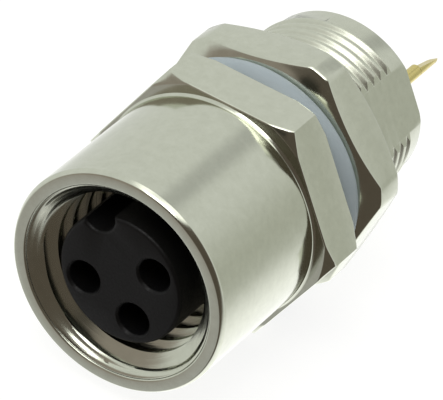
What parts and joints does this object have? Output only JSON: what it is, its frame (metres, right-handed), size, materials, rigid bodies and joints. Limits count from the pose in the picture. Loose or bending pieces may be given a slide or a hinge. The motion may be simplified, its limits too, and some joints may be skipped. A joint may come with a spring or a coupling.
{
  "type": "panel mount circular connector",
  "caption": "Round metal panel connector with a screw-coupled keyed socket in front, a hexagonal collar, a seal ring, a mounting nut on the threaded shank and solder tails behind.",
  "frame": {"origin": "on the axis, in the rear face of the hexagonal collar", "axes": "+Y along the axis towards the solder tails, so the mating face looks along -Y; +Z normal to one flat of the collar"},
  "size_m": [0.0116, 0.021, 0.0108],
  "materials": {
    "nickel_brass": "bright nickel plating",
    "black_plastic": "moulded, matt",
    "gold_brass": "gold plating",
    "pale_elastomer": "smooth moulded"
  },
  "bodies": {
    "connector": {"shell": "nickel_brass", "contact_carrier": "black_plastic", "contact_1": "gold_brass", "contact_3": "gold_brass", "contact_4": "gold_brass", "panel_seal": "pale_elastomer"},
    "nut": {"mounting_nut": "nickel_brass"}
  },
  "joints": [
    {"name": "nut_run", "type": "slide", "parent": "connector", "child": "nut", "axis": [0, 1, 0], "range_m": [0, 0.0055]}
  ]
}
